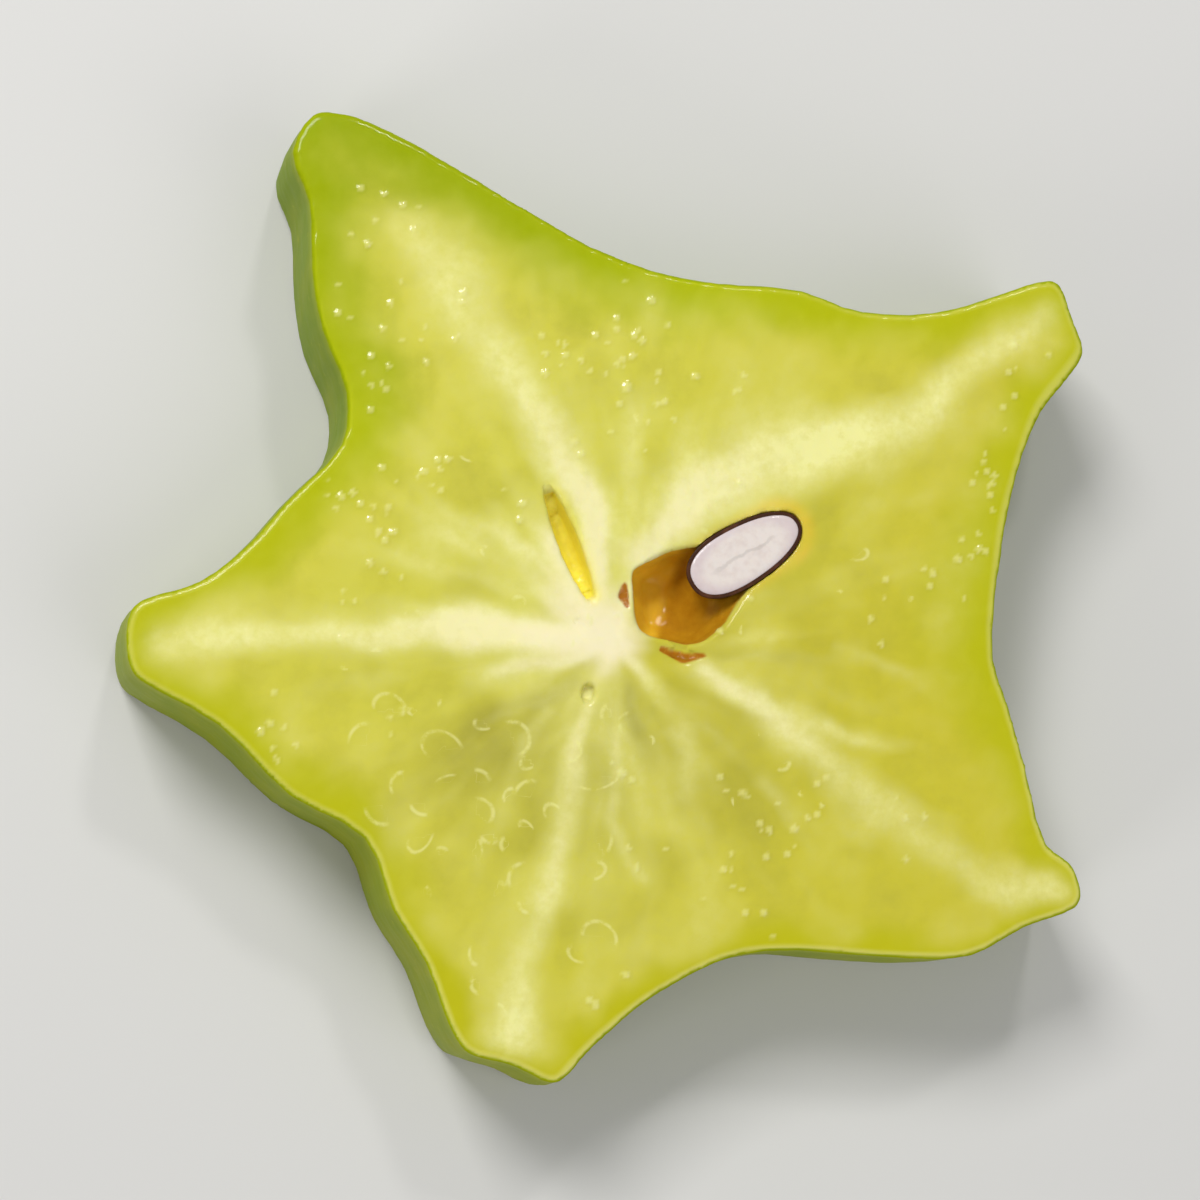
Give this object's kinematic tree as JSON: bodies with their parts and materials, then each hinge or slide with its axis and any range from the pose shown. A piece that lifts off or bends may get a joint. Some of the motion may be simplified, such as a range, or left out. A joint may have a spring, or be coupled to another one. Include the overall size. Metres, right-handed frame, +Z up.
{
  "type": "star fruit slice",
  "caption": "Ripe star fruit slice, cut crosswise and lying on its lower cut face, with a halved seed in its open locule.",
  "frame": {"origin": "the fruit's core, where it meets the lower cut face that the slice rests on", "axes": "+Z up along the fruit's core, out of the upper cut face; the longest rib points to the upper left (-X, +Y) and the left rib along -X, as seen from above"},
  "size_m": [0.0534, 0.0533, 0.0098],
  "materials": {
    "flesh": "wet translucent yellow-green flesh with waxy green skin on the flanks",
    "seed_coat": "satin dark brown",
    "seed_kernel": "satin ivory white"
  },
  "bodies": {
    "root": {"fruit_slice": "flesh", "seed_coat": "seed_coat", "seed_kernel": "seed_kernel"}
  },
  "joints": []
}
